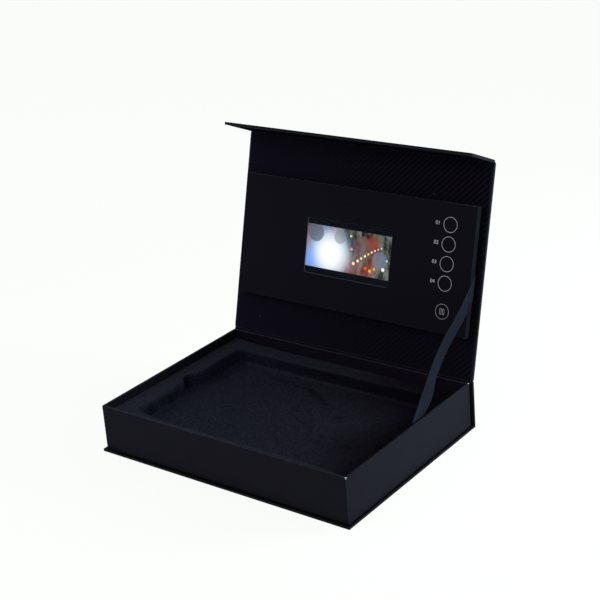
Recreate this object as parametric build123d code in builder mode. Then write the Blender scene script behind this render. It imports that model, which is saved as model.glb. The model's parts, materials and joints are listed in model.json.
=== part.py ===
from build123d import *
import os
from math import atan2, cos, hypot, radians, sin

# A video presentation box: a book-style case of wrapped grey board that holds a foam-lined tray.
# The lid stands open on a ribbon and carries a flat LCD module with five buttons. Its flap
# shuts against the front of the tray with magnets.
#
# Millimetres, +Z up, +X to the right of someone facing the box, +Y to the rear.
# The origin is on the table, under the centre of the tray.

os.makedirs("parts", exist_ok=True)

# ---------------------------------------------------------------- driving dimensions

# Sheet stock
paper = 0.25  # wrap and lining sheets
cover_board = 2.5  # grey board of the case
wall_board = 2.0  # grey board of the tray

# Tray
tray_width = 310.0
tray_depth = 224.0
tray_height = 49.5
rim_turn_in = 20.0  # wrap folded down inside the walls

# Case
side_overhang = 2.5  # case past the tray on each side
flap_clearance = 0.5  # shut flap to the front of the tray
spine_gap = 2.4  # rear of the tray to the spine's lining
lid_seat = 0.3  # shut lid above the rim
crease_inset = 0.3  # inner faces of the boards past the hinge lines
hinge_gap = 0.8  # hinge line to the ends of the boards
flap_seat = 0.4  # tip of the shut flap above the base
turn_in = 3.0  # border of wrap left showing round a lining
lid_angle = 105.5  # open lid from its shut position
flap_angle = 98.5  # resting flap from the lid

# Magnetic catch
catch_diameter = 12.0
catch_thickness = 1.5
catch_spacing = 110.0
catch_reach = 25.0  # from the flap's fold
pocket_clearance = 0.2  # all round a magnet

# Foam
foam_clearance = 0.5  # to the tray walls
foam_headroom = 0.6  # top of the foam to the shut module
recess_border = 20.5  # foam left round the recess
recess_drop = 16.0
recess_x, recess_y = 0.5, 1.0
notch_width = 26.0
notch_depth = 8.0
notch_y = 3.0

# Video module, centred on the lid apart from a small shift across and along it
module_room = 3.25  # shut module to the tray walls, mean of the two sides
module_height = 136.5
module_x = 1.5
module_drop = 0.2
module_thickness = 7.2
module_wall = 1.2
spacer_thickness = 5.4
spacer_inset = 4.0
spacer_border = 22.0
plate_thickness = 0.8
plate_clearance = 0.2
board_seat = 0.3  # adhesive pads and flat cable under the boards

# Screen, a 5 inch 16:9 panel, placed from the middle of the module
screen_left = 4.3
screen_drop = 1.05
window_width = 110.0
window_height = 61.6
window_radius = 3.0
film_margin = 4.0
film_thickness = 0.5
lcd_side = 5.35  # panel past the window at each side
lcd_end = 7.1  # and above and below it
lcd_thickness = 3.1
lcd_wall = 0.6
lcd_floor = 0.3
glass_thickness = 1.1
glass_gap = 0.1
flex_width = 20.0
flex_thickness = 0.15

# Buttons, in a column along the module's right edge
button_inset = 30.05  # from that edge
button_rise = 45.55  # first button above the middle of the module
button_pitch = 20.4
pause_drop = 90.6  # from the first button to the pause button
button_diameter = 14.8
button_clearance = 0.25
flange_width = 1.4
flange_thickness = 0.7
flange_gap = 0.1
stem_diameter = 4.0
button_travel = 0.5
switch_size = 6.0
switch_height = 1.3
actuator_diameter = 3.0
actuator_height = 0.5
switch_gap = 0.55  # stem to actuator, more than the travel

# Boards and what they carry
pcb_thickness = 1.0
pcb_clearance = 0.5
main_width, main_height = 57.0, 66.0
key_width = 16.0
key_margin = 9.0  # of the button board past its end buttons
cable_width = 8.0
cable_drop = 14.0  # below the middle of the module
cable_overlap = 3.0
usb_width, usb_depth, usb_height = 7.4, 5.6, 2.6
usb_shell = 0.4
usb_clearance = 0.5
usb_recess = 0.4
tongue_inset, tongue_lift, tongue_thickness = 1.2, 0.8, 0.6
reed_length, reed_diameter = 10.0, 2.0
reed_edge = 4.0  # from the edge of the board
reed_rise = 25.0  # above the middle of the board
trigger_diameter, trigger_thickness = 10.0, 2.0
trigger_cover = 1.0  # foam left over the trigger magnet

# Battery, speaker and their leads
battery_height, battery_thickness = 70.0, 4.5
battery_room = 4.6  # to the screen and to the button board
battery_radius = 1.5
speaker_width, speaker_height, speaker_thickness = 30.0, 20.0, 4.0
speaker_radius = 5.0
speaker_margin = 5.0  # to the walls of the module
cone_inset, cone_depth = 2.5, 1.2
lead_diameter = 1.2
lead_pitch = 2.4
lead_bend = 5.0

# Ribbon that stays the lid
ribbon_width = 16.0
ribbon_thickness = 0.4
ribbon_low_y = -1.0  # middle of its glued end, below the rim
ribbon_low_drop = 20.5
ribbon_high_s = 105.0  # where its line meets the lid
ribbon_bow = 8.0
ribbon_bend = 220.0
ribbon_rim_ease = 4.0  # start of the bow past the rim
ribbon_ease = 12.0  # end of the bow short of the module
ribbon_tail = 16.0  # past the lid's face, where it is cut flush
ribbon_side_clearance = 0.3

# ---------------------------------------------------------------- worked-out places

cover = cover_board + 2 * paper
wall = wall_board + 2 * paper
well_width = tray_width - 2 * wall
well_depth = tray_depth - 2 * wall
case_half = tray_width / 2 + side_overhang
rim_z = cover + tray_height
hinge_y = tray_depth / 2 + spine_gap + crease_inset
hinge_z = rim_z + lid_seat + crease_inset
front_y = -(tray_depth / 2 + flap_clearance + cover)
fold_s = hinge_y - front_y - cover + crease_inset
flap_length = hinge_z - cover - flap_seat
lean = radians(lid_angle - 90)
flap_lean = lean + radians(flap_angle - 90)

# On each of these planes X is the box's own, Y runs away from the hinge line, and Z stands out
# of the inner face of the board.
base_plane = Plane(origin=(0, 0, cover - crease_inset), x_dir=(1, 0, 0), z_dir=(0, 0, 1))
spine_plane = Plane(origin=(0, hinge_y, 0), x_dir=(1, 0, 0), z_dir=(0, -1, 0))
lid_plane = Plane(
    origin=(0, hinge_y, hinge_z), x_dir=(1, 0, 0), z_dir=(0, -cos(lean), sin(lean))
)
flap_plane = Plane(
    origin=lid_plane.from_local_coords((0, fold_s, 0)),
    x_dir=(1, 0, 0),
    z_dir=(0, -sin(flap_lean), -cos(flap_lean)),
)

# Heights above the lid's hinge plane
module_back = crease_inset + spacer_thickness
module_top = module_back + module_thickness
face_back = module_top - module_wall
plate_top = module_back + plate_thickness
pcb_bottom = plate_top + board_seat
pcb_top = pcb_bottom + pcb_thickness
film_back = face_back - film_thickness
lcd_back = film_back - lcd_thickness

# Limits of the module and its inside, across the lid and along it
module_width = well_width - 2 * module_room
module_left = module_x - module_width / 2
module_right = module_x + module_width / 2
module_s = fold_s / 2 - module_drop
inside_width = module_width - 2 * module_wall
inside_height = module_height - 2 * module_wall

screen_x = module_x - screen_left
screen_s = module_s - screen_drop
lcd_width = window_width + 2 * lcd_side
lcd_height = window_height + 2 * lcd_end
button_x = module_right - button_inset
button_top = module_s + button_rise
button_rows = [button_top - row * button_pitch for row in range(4)]
button_rows.append(button_top - pause_drop)
key_left = button_x - key_width / 2

main_left = module_left + module_wall + pcb_clearance
main_right = main_left + main_width
main_x = (main_left + main_right) / 2
main_s = module_s
cable_s = module_s - cable_drop
reed_s = main_s + reed_rise
battery_left = screen_x + lcd_width / 2 + battery_room
battery_right = key_left - battery_room
battery_x = (battery_left + battery_right) / 2
battery_width = battery_right - battery_left
battery_s = module_s
speaker_x = module_left + module_wall + speaker_margin + speaker_width / 2
speaker_s = module_s + (inside_height - speaker_height) / 2 - speaker_margin

foam_top = hinge_z - module_top - foam_headroom
recess_floor = foam_top - recess_drop
floor_top = cover + wall_board
foam_width = well_width - 2 * foam_clearance
foam_depth = well_depth - 2 * foam_clearance
recess_width = foam_width - 2 * recess_border
recess_depth = foam_depth - 2 * recess_border
trigger_x = main_left + reed_edge
trigger_y = hinge_y - reed_s


def middle(span):
    """Mid point of a pair of limits."""
    return (span[0] + span[1]) / 2


def block(xs, ys, zs, plane=Plane.XY, mode=Mode.ADD):
    """Box between pairs of limits along a plane's own axes."""
    with Locations(plane.location * Location((middle(xs), middle(ys), zs[0]))):
        Box(
            xs[1] - xs[0],
            ys[1] - ys[0],
            zs[1] - zs[0],
            align=(Align.CENTER, Align.CENTER, Align.MIN),
            mode=mode,
        )


def disc(diameter, centre, zs, plane=Plane.XY, mode=Mode.ADD):
    """Round piece standing on a plane, between two heights."""
    with Locations(plane.location * Location((centre[0], centre[1], zs[0]))):
        Cylinder(
            diameter / 2,
            zs[1] - zs[0],
            align=(Align.CENTER, Align.CENTER, Align.MIN),
            mode=mode,
        )


def save(builder, label):
    """Names a finished piece and writes it."""
    builder.part.label = label
    export_step(builder.part, f"parts/{label}.step")


# ---------------------------------------------------------------- case: four wrapped boards

# Each board is wrapped in paper on its outer face and free edges. The wrap shows as a narrow
# border inside, round a lining sheet that is let in flush.
inner_face = crease_inset
lining_back = inner_face - paper
outer_face = inner_face - cover
board_back = outer_face + paper
board_half = case_half - paper
lining_half = case_half - turn_in
catch_columns = (-catch_spacing, 0, catch_spacing)
catch_z = hinge_z - catch_reach

# Plane, start and end along it, and whether each of those ends is a wrapped free edge
covers = {
    "base": (base_plane, front_y, hinge_y - inner_face, True, False),
    "spine": (spine_plane, 0, hinge_z - hinge_gap, True, False),
    "lid": (lid_plane, hinge_gap, fold_s - hinge_gap, False, False),
    "flap": (flap_plane, hinge_gap, flap_length, False, True),
}

for name, (plane, start, end, start_free, end_free) in covers.items():
    board_span = (start + paper * start_free, end - paper * end_free)
    lining_span = (start + turn_in * start_free, end - turn_in * end_free)

    with BuildPart() as cover_core:
        block((-board_half, board_half), board_span, (board_back, lining_back), plane)
        if name == "flap":
            for column in catch_columns:
                disc(
                    catch_diameter + 2 * pocket_clearance,
                    (column, catch_reach),
                    (lining_back - catch_thickness - pocket_clearance, lining_back),
                    plane,
                    Mode.SUBTRACT,
                )
    save(cover_core, f"{name}_board")

    with BuildPart() as cover_wrap:
        block((-case_half, case_half), (start, end), (outer_face, inner_face), plane)
        block(
            (-board_half, board_half),
            board_span,
            (board_back, lining_back),
            plane,
            Mode.SUBTRACT,
        )
        block(
            (-lining_half, lining_half),
            lining_span,
            (lining_back, inner_face),
            plane,
            Mode.SUBTRACT,
        )
    save(cover_wrap, f"{name}_wrap")

    with BuildPart() as cover_lining:
        block((-lining_half, lining_half), lining_span, (lining_back, inner_face), plane)
    save(cover_lining, f"{name}_lining")

with BuildPart() as flap_magnets:
    for column in catch_columns:
        disc(
            catch_diameter,
            (column, catch_reach),
            (lining_back - catch_thickness, lining_back),
            flap_plane,
        )
save(flap_magnets, "flap_magnets")


def paper_joint(first, first_end, second, second_end):
    """Outer and inner strips of paper between the ends of two boards that fold on each other."""
    strips = ((outer_face, board_back, case_half), (inner_face, lining_back, lining_half))
    joint = []
    for near, far, half in strips:
        corners = [
            first.from_local_coords((0, first_end, near)),
            first.from_local_coords((0, first_end, far)),
            second.from_local_coords((0, second_end, far)),
            second.from_local_coords((0, second_end, near)),
        ]
        joint.append((corners, half))
    return joint


joints = {
    "lid_hinge_paper": paper_joint(spine_plane, hinge_z - hinge_gap, lid_plane, hinge_gap),
    "flap_hinge_paper": paper_joint(lid_plane, fold_s - hinge_gap, flap_plane, hinge_gap),
}
for label, joint in joints.items():
    with BuildPart() as hinge_paper:
        for corners, half in joint:
            with BuildSketch(Plane.YZ):
                with BuildLine():
                    Polyline(*[(corner.Y, corner.Z) for corner in corners], close=True)
                make_face()
            extrude(amount=half, both=True)
    save(hinge_paper, label)

# ---------------------------------------------------------------- tray

core_width = tray_width - 2 * paper
core_depth = tray_depth - 2 * paper
core_top = rim_z - paper

with BuildPart() as tray_floor:
    with BuildSketch(Plane.XY.offset(cover)):
        Rectangle(core_width - 2 * wall_board, core_depth - 2 * wall_board)
    extrude(amount=wall_board)
save(tray_floor, "tray_floor")

for label, side in (("tray_front_wall", -1), ("tray_rear_wall", 1)):
    outer_y = side * core_depth / 2
    inner_y = outer_y - side * wall_board
    with BuildPart() as long_wall:
        block(
            (-core_width / 2, core_width / 2),
            (min(outer_y, inner_y), max(outer_y, inner_y)),
            (cover, core_top),
        )
        if side < 0:
            with Locations(
                [
                    Location((column, outer_y, catch_z), (90, 0, 0))
                    for column in catch_columns
                ]
            ):
                Cylinder(
                    catch_diameter / 2 + pocket_clearance,
                    2 * (catch_thickness + pocket_clearance),
                    mode=Mode.SUBTRACT,
                )
    save(long_wall, label)

for label, side in (("tray_left_wall", -1), ("tray_right_wall", 1)):
    outer_x = side * core_width / 2
    inner_x = outer_x - side * wall_board
    with BuildPart() as short_wall:
        block(
            (min(outer_x, inner_x), max(outer_x, inner_x)),
            (wall_board - core_depth / 2, core_depth / 2 - wall_board),
            (cover, core_top),
        )
    save(short_wall, label)

with BuildPart() as tray_magnets:
    with Locations(
        [
            Location((column, catch_thickness / 2 - core_depth / 2, catch_z), (90, 0, 0))
            for column in catch_columns
        ]
    ):
        Cylinder(catch_diameter / 2, catch_thickness)
save(tray_magnets, "tray_magnets")

# The wrap covers the outside of the walls and the rim, and turns down inside them.
with BuildPart() as tray_wrap:
    with BuildSketch(Plane.XY.offset(cover)):
        Rectangle(tray_width, tray_depth)
        Rectangle(core_width, core_depth, mode=Mode.SUBTRACT)
    extrude(amount=tray_height)
    with BuildSketch(Plane.XY.offset(core_top)):
        Rectangle(tray_width, tray_depth)
        Rectangle(well_width, well_depth, mode=Mode.SUBTRACT)
    extrude(amount=paper)
    with BuildSketch(Plane.XY.offset(rim_z - rim_turn_in)):
        Rectangle(well_width + 2 * paper, well_depth + 2 * paper)
        Rectangle(well_width, well_depth, mode=Mode.SUBTRACT)
    extrude(amount=rim_turn_in)
save(tray_wrap, "tray_wrap")

# ---------------------------------------------------------------- foam

with BuildPart() as foam_base:
    with BuildSketch(Plane.XY.offset(floor_top)):
        Rectangle(foam_width, foam_depth)
    extrude(amount=recess_floor - floor_top)
save(foam_base, "foam_base")

with BuildPart() as foam_frame:
    with BuildSketch(Plane.XY.offset(recess_floor)):
        Rectangle(foam_width, foam_depth)
        with Locations((recess_x, recess_y)):
            Rectangle(recess_width, recess_depth, mode=Mode.SUBTRACT)
        with Locations((recess_x, notch_y)):
            SlotOverall(recess_width + 2 * notch_depth, notch_width, mode=Mode.SUBTRACT)
    extrude(amount=recess_drop)
    disc(
        trigger_diameter + 2 * pocket_clearance,
        (trigger_x, trigger_y),
        (recess_floor, foam_top - trigger_cover),
        mode=Mode.SUBTRACT,
    )
save(foam_frame, "foam_frame")

with BuildPart() as trigger_magnet:
    disc(
        trigger_diameter,
        (trigger_x, trigger_y),
        (foam_top - trigger_cover - trigger_thickness, foam_top - trigger_cover),
    )
save(trigger_magnet, "trigger_magnet")

# ---------------------------------------------------------------- video module: casing

with BuildPart() as module_spacer:
    spacer_width = module_width - 2 * spacer_inset
    spacer_height = module_height - 2 * spacer_inset
    bay_width = (spacer_width - 3 * spacer_border) / 2
    with BuildSketch(lid_plane.offset(inner_face)):
        with Locations((module_x, module_s)):
            Rectangle(spacer_width, spacer_height)
            with GridLocations(bay_width + spacer_border, 0, 2, 1):
                Rectangle(bay_width, spacer_height - 2 * spacer_border, mode=Mode.SUBTRACT)
    extrude(amount=spacer_thickness)
save(module_spacer, "module_spacer")

with BuildPart() as module_back_plate:
    with BuildSketch(lid_plane.offset(module_back)):
        with Locations((module_x, module_s)):
            Rectangle(inside_width - 2 * plate_clearance, inside_height - 2 * plate_clearance)
    extrude(amount=plate_thickness)
save(module_back_plate, "module_back_plate")

usb_mouth = module_left + usb_recess
usb_top = pcb_top + usb_height

with BuildPart() as module_cover:
    with BuildSketch(lid_plane.offset(module_back)):
        with Locations((module_x, module_s)):
            Rectangle(module_width, module_height)
            Rectangle(inside_width, inside_height, mode=Mode.SUBTRACT)
    extrude(amount=module_thickness)
    with BuildSketch(lid_plane.offset(face_back)):
        with Locations((module_x, module_s)):
            Rectangle(inside_width, inside_height)
        with Locations((screen_x, screen_s)):
            RectangleRounded(window_width, window_height, window_radius, mode=Mode.SUBTRACT)
        with Locations([(button_x, row) for row in button_rows]):
            Circle(button_diameter / 2 + button_clearance, mode=Mode.SUBTRACT)
    extrude(amount=module_wall)
    block(
        (module_left, module_left + module_wall),
        (main_s - usb_width / 2 - usb_clearance, main_s + usb_width / 2 + usb_clearance),
        (pcb_top - usb_clearance, usb_top + usb_clearance),
        lid_plane,
        Mode.SUBTRACT,
    )
save(module_cover, "module_cover")

# ---------------------------------------------------------------- video module: screen

with BuildPart() as window_film:
    with BuildSketch(lid_plane.offset(film_back)):
        with Locations((screen_x, screen_s)):
            Rectangle(window_width + 2 * film_margin, window_height + 2 * film_margin)
    extrude(amount=film_thickness)
save(window_film, "window_film")

with BuildPart() as lcd_frame:
    with BuildSketch(lid_plane.offset(lcd_back)):
        with Locations((screen_x, screen_s)):
            Rectangle(lcd_width, lcd_height)
    extrude(amount=lcd_thickness)
    with BuildSketch(lid_plane.offset(lcd_back + lcd_floor)):
        with Locations((screen_x, screen_s)):
            Rectangle(lcd_width - 2 * lcd_wall, lcd_height - 2 * lcd_wall)
    extrude(amount=lcd_thickness - lcd_floor, mode=Mode.SUBTRACT)
save(lcd_frame, "lcd_frame")

glass_top = film_back - glass_gap
glass_back = glass_top - glass_thickness
stack = (
    ("lcd_backlight", lcd_back + lcd_floor, glass_back),
    ("lcd_glass", glass_back, glass_top),
)
for label, low, high in stack:
    with BuildPart() as lcd_layer:
        with BuildSketch(lid_plane.offset(low)):
            with Locations((screen_x, screen_s)):
                Rectangle(
                    lcd_width - 2 * lcd_wall - 2 * glass_gap,
                    lcd_height - 2 * lcd_wall - 2 * glass_gap,
                )
        extrude(amount=high - low)
    save(lcd_layer, label)

# The flexible cable lies on the main board and runs in under the back of the frame.
with BuildPart() as lcd_flex:
    block(
        (main_right - 2 * cable_overlap, screen_x - lcd_width / 2 + cable_overlap),
        (main_s - flex_width / 2, main_s + flex_width / 2),
        (pcb_top, pcb_top + flex_thickness),
        lid_plane,
    )
save(lcd_flex, "lcd_flex")

# ---------------------------------------------------------------- video module: electronics

with BuildPart() as main_board:
    with BuildSketch(lid_plane.offset(pcb_bottom)):
        with Locations((main_x, main_s)):
            RectangleRounded(main_width, main_height, pcb_thickness)
    extrude(amount=pcb_thickness)
save(main_board, "main_board")

# Across and along the main board from its centre, with width, height and thickness
chips = (
    (-6, 8, 12, 12, 1.0),
    (10, 12, 9, 9, 0.9),
    (-4, -14, 11, 8, 1.0),
    (14, -16, 6, 6, 1.8),
    (-16, -24, 5, 4, 0.9),
)
with BuildPart() as board_chips:
    for chip_x, chip_s, chip_width, chip_height, chip_thickness in chips:
        with BuildSketch(lid_plane.offset(pcb_top)):
            with Locations((main_x + chip_x, main_s + chip_s)):
                Rectangle(chip_width, chip_height)
        extrude(amount=chip_thickness)
save(board_chips, "board_chips")

with BuildPart() as usb_socket:
    usb_s = (main_s - usb_width / 2, main_s + usb_width / 2)
    usb_x = (usb_mouth, usb_mouth + usb_depth)
    block(usb_x, usb_s, (pcb_top, usb_top), lid_plane)
    block(
        (usb_x[0], usb_x[1] - usb_shell),
        (usb_s[0] + usb_shell, usb_s[1] - usb_shell),
        (pcb_top + usb_shell, usb_top - usb_shell),
        lid_plane,
        Mode.SUBTRACT,
    )
    tongue_t = pcb_top + tongue_lift
    block(
        (usb_x[0] + tongue_lift, usb_x[1] - usb_shell),
        (usb_s[0] + tongue_inset, usb_s[1] - tongue_inset),
        (tongue_t, tongue_t + tongue_thickness),
        lid_plane,
    )
save(usb_socket, "usb_socket")

# The reed switch lies across the board, over the trigger magnet when the lid is shut.
with BuildPart() as reed_switch:
    reed_at = (trigger_x, reed_s - reed_length / 2, pcb_top + reed_diameter / 2)
    with Locations(lid_plane.location * Location(reed_at, (-90, 0, 0))):
        Cylinder(
            reed_diameter / 2,
            reed_length,
            align=(Align.CENTER, Align.CENTER, Align.MIN),
        )
save(reed_switch, "reed_switch")

with BuildPart() as button_board:
    key_span = (button_rows[-1] - key_margin, button_rows[0] + key_margin)
    with BuildSketch(lid_plane.offset(pcb_bottom)):
        with Locations((button_x, middle(key_span))):
            RectangleRounded(key_width, key_span[1] - key_span[0], pcb_thickness)
    extrude(amount=pcb_thickness)
save(button_board, "button_board")

with BuildPart() as tact_switches:
    for row in button_rows:
        with BuildSketch(lid_plane.offset(pcb_top)):
            with Locations((button_x, row)):
                Rectangle(switch_size, switch_size)
        extrude(amount=switch_height)
        disc(
            actuator_diameter,
            (button_x, row),
            (pcb_top + switch_height, pcb_top + switch_height + actuator_height),
            lid_plane,
        )
save(tact_switches, "tact_switches")

# The flat cable lies on the back plate and ends under both boards.
with BuildPart() as button_cable:
    block(
        (main_right - cable_overlap, key_left + cable_overlap),
        (cable_s - cable_width / 2, cable_s + cable_width / 2),
        (plate_top, pcb_bottom),
        lid_plane,
    )
save(button_cable, "button_cable")

with BuildPart() as battery:
    with BuildSketch(lid_plane.offset(pcb_bottom)):
        with Locations((battery_x, battery_s)):
            RectangleRounded(battery_width, battery_height, battery_radius)
    extrude(amount=battery_thickness)
    front = battery.faces().sort_by(Axis((0, 0, 0), lid_plane.z_dir))[-1]
    fillet(front.edges(), battery_radius / 2)
save(battery, "battery")

with BuildPart() as speaker:
    with BuildSketch(lid_plane.offset(pcb_bottom)):
        with Locations((speaker_x, speaker_s)):
            RectangleRounded(speaker_width, speaker_height, speaker_radius)
    extrude(amount=speaker_thickness)
    with BuildSketch(lid_plane.offset(pcb_bottom + speaker_thickness - cone_depth)):
        with Locations((speaker_x, speaker_s)):
            RectangleRounded(
                speaker_width - 2 * cone_inset,
                speaker_height - 2 * cone_inset,
                speaker_radius - cone_inset,
            )
    extrude(amount=cone_depth, mode=Mode.SUBTRACT)
save(speaker, "speaker")


def lead_pair(label, routes):
    """Two insulated wires along flat routes on the back plate."""
    lead_t = plate_top + board_seat + lead_diameter / 2
    with BuildPart() as leads:
        for route in routes:
            with BuildLine(lid_plane.offset(lead_t)) as path:
                FilletPolyline(*route, radius=lead_bend)
            start = path.line @ 0
            with BuildSketch(Plane(origin=start, z_dir=path.line % 0)):
                Circle(lead_diameter / 2)
            sweep(path=path.line)
    save(leads, label)


battery_foot = battery_s - battery_height / 2
main_foot = main_s - main_height / 2
battery_routes = []
for turn in (0, 1):
    step = turn * lead_pitch
    level = battery_foot - 2 * lead_bend - step
    battery_routes.append(
        [
            (battery_x + step, battery_foot),
            (battery_x + step, level),
            (main_x - step, level),
            (main_x - step, main_foot),
        ]
    )
lead_pair("battery_leads", battery_routes)

speaker_right = speaker_x + speaker_width / 2
speaker_routes = []
for turn in (0, 1):
    step = turn * lead_pitch
    column = speaker_right + 2 * lead_bend - step
    speaker_routes.append(
        [
            (speaker_right, speaker_s - step),
            (column, speaker_s - step),
            (column, main_s + main_height / 2),
        ]
    )
lead_pair("speaker_leads", speaker_routes)

# ---------------------------------------------------------------- buttons

stem_end = pcb_top + switch_height + actuator_height + switch_gap
flange_top = face_back - flange_gap
flange_bottom = flange_top - flange_thickness
button_names = [f"button_{number}" for number in (1, 2, 3, 4)] + ["pause_button"]

for label, row in zip(button_names, button_rows):
    centre = (button_x, row)
    with BuildPart() as button:
        disc(
            button_diameter + 2 * flange_width,
            centre,
            (flange_bottom, flange_top),
            lid_plane,
        )
        disc(button_diameter, centre, (flange_top, module_top), lid_plane)
        disc(stem_diameter, centre, (stem_end, flange_bottom), lid_plane)
    save(button, label)

# ---------------------------------------------------------------- ribbon stay

# The ribbon is glued inside the right wall, crosses the open side in a shallow bow and meets
# the lid beside the module.
low = Vector(0, ribbon_low_y, rim_z - ribbon_low_drop)
high = lid_plane.from_local_coords((0, ribbon_high_s, inner_face))
ribbon_run = hypot(high.Y - low.Y, high.Z - low.Z)
ribbon_rise = atan2(high.Z - low.Z, high.Y - low.Y)
wall_x = well_width / 2 - ribbon_thickness / 2
lid_x = module_right + ribbon_side_clearance + ribbon_thickness / 2
above_rim = ribbon_low_drop / sin(ribbon_rise)
module_pass = (module_top - inner_face + ribbon_width) / sin(lean + ribbon_rise)
ribbon_plane = Plane(
    origin=low,
    x_dir=(0, cos(ribbon_rise), sin(ribbon_rise)),
    z_dir=(0, sin(ribbon_rise), -cos(ribbon_rise)),
)
bow_start = above_rim + ribbon_rim_ease
bow_end = ribbon_run - module_pass - ribbon_ease
bow_x = (wall_x + lid_x) / 2 - ribbon_bow

with BuildPart() as lid_stay_ribbon:
    with BuildSketch(ribbon_plane):
        with BuildLine() as ribbon_line:
            FilletPolyline(
                (0, wall_x),
                (bow_start, wall_x),
                ((bow_start + bow_end) / 2, bow_x),
                (bow_end, lid_x),
                (ribbon_run + ribbon_tail, lid_x),
                radius=ribbon_bend,
            )
        trace(line_width=ribbon_thickness)
    extrude(amount=ribbon_width / 2, both=True)
    block(
        (-case_half, case_half),
        (0, fold_s),
        (-2 * ribbon_tail, inner_face),
        lid_plane,
        Mode.SUBTRACT,
    )
save(lid_stay_ribbon, "lid_stay_ribbon")
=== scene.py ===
# %% [markdown]
# # A presentation box with a video screen in its lid
#
# The object is a black book-style gift box. A wrapped board case closes round a foam-lined
# tray. Its lid stands open on a ribbon, carries a flat module with a small screen and five
# push buttons, and ends in a flap that holds the front shut with magnets.
#
# The solids of the box come from a measured model, the frame. This lesson dresses that frame:
# each visible part gets a mesh with soft edges and a material with the grain of the real one.
# The first cell loads the frame.

# %% Load the frame
import json
import math
import bmesh
import bpy
from mathutils import Matrix, Vector, noise


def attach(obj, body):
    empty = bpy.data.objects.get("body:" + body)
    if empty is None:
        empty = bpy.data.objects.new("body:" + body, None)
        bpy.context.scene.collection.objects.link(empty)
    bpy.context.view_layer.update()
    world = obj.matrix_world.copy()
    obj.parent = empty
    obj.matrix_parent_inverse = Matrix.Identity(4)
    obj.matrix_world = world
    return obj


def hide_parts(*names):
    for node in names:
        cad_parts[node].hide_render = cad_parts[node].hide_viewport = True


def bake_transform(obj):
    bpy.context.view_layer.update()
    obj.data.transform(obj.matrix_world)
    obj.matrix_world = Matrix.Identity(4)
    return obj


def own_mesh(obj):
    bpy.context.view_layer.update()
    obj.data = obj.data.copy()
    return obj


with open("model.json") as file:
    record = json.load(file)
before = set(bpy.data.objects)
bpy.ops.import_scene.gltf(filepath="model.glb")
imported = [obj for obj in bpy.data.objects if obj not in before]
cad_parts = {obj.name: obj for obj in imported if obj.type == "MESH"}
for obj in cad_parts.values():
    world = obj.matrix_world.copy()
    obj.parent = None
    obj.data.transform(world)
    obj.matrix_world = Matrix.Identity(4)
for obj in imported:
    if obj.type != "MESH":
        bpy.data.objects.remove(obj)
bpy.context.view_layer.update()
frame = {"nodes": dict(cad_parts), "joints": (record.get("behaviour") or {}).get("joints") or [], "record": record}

# %% [markdown]
# ## Where the tilted boards are
#
# The first helper saves repeating how a new object joins the scene. The rest is about places.
# The lid leans back and the flap hangs forward, so their pieces are easiest to build lying flat.
# A matrix then carries them into place. The joints of the frame say where the two fold lines
# are, and the flap's travel says how far it is turned from the lid. On each board X runs across
# the box, Y away from the fold line and Z out of the inner face.

# %% Boards as places
mm = 0.001


def in_scene(name, data):
    """A new object in the scene, from its data."""
    made = bpy.data.objects.new(name, data)
    bpy.context.scene.collection.objects.link(made)
    return made


def joint(name):
    """The frame's joint of that name."""
    return next(j for j in frame["joints"] if j["name"] == name)


def board_place(origin, along):
    """Matrix that carries a flat board to its fold line and its slope."""
    across = Vector((1, 0, 0))
    axes = Matrix((across, along, across.cross(along))).transposed()
    return Matrix.Translation(origin) @ axes.to_4x4()


hinge_line = Vector(joint("lid_hinge")["pos_m"])
fold_line = Vector(joint("flap_hinge")["pos_m"])
lid_along = (fold_line - hinge_line).normalized()
flap_turn = math.radians(-joint("flap_hinge")["range_deg"][0])
flap_along = Matrix.Rotation(flap_turn, 3, "X") @ lid_along
upright = board_place(Vector(), Vector((0, 1, 0)))
spine_place = board_place(Vector((0, hinge_line.y, 0)), Vector((0, 0, 1)))
lid_place = board_place(hinge_line, lid_along)
flap_place = board_place(fold_line, flap_along)
print("lid leans back", round(math.degrees(math.atan2(lid_along.y, lid_along.z)), 1), "degrees")

# %% [markdown]
# ## Reading sizes off the frame
#
# No size is typed twice. A helper looks at a node of the frame from a board's own place and
# gives its lowest and highest corner there.

# %% Measure a node from a board's place


def span(node, place=upright):
    """Lowest and highest corner of a frame node, seen from a place."""
    back = place.inverted()
    corners = [back @ vertex.co for vertex in frame["nodes"][node].data.vertices]
    low = Vector([min(c[i] for c in corners) for i in range(3)])
    high = Vector([max(c[i] for c in corners) for i in range(3)])
    return low, high


tray_low, tray_high = span("tray_wrap")
module_low, module_high = span("module_cover", lid_place)
print("tray", [round(v / mm, 1) for v in tray_high - tray_low])
print("module", [round(v / mm, 1) for v in module_high - module_low])

# %% [markdown]
# ## The camera
#
# A camera fitted to the corners of the box stands to its right and well above it, with a long
# lens. It is turned in three steps: a roll about its own axis, a tilt down from the horizon and
# a heading round the vertical. The lens is shifted a little, as in a cropped picture.

# %% Camera
eye = Vector((0.86129, -1.06101, 0.71830))
heading, tilt, roll = math.radians(129.324), math.radians(-19.198), math.radians(-5.036)

camera_data = bpy.data.cameras.new("camera")
camera_data.sensor_width = 36
camera_data.lens = 87.254
camera_data.shift_x, camera_data.shift_y = 0.06140, -0.12881
camera_data.clip_end = 50
camera = in_scene("camera", camera_data)
turn = Matrix.Rotation(heading - math.pi / 2, 4, "Z")
turn = turn @ Matrix.Rotation(math.pi / 2 + tilt, 4, "X") @ Matrix.Rotation(roll, 4, "Z")
camera.matrix_world = Matrix.Translation(eye) @ turn
bpy.context.scene.camera = camera
print("camera", round(eye.length, 2), "m from the box")

# %% [markdown]
# ## Writing materials as sums
#
# A procedural material is a graph of nodes, and long graphs are hard to read as code. A small
# class wraps a socket, so that `1 - mask` or `grain * 0.2` adds the Math node it means. A
# second class holds one material and adds every other kind of node through one method.

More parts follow.
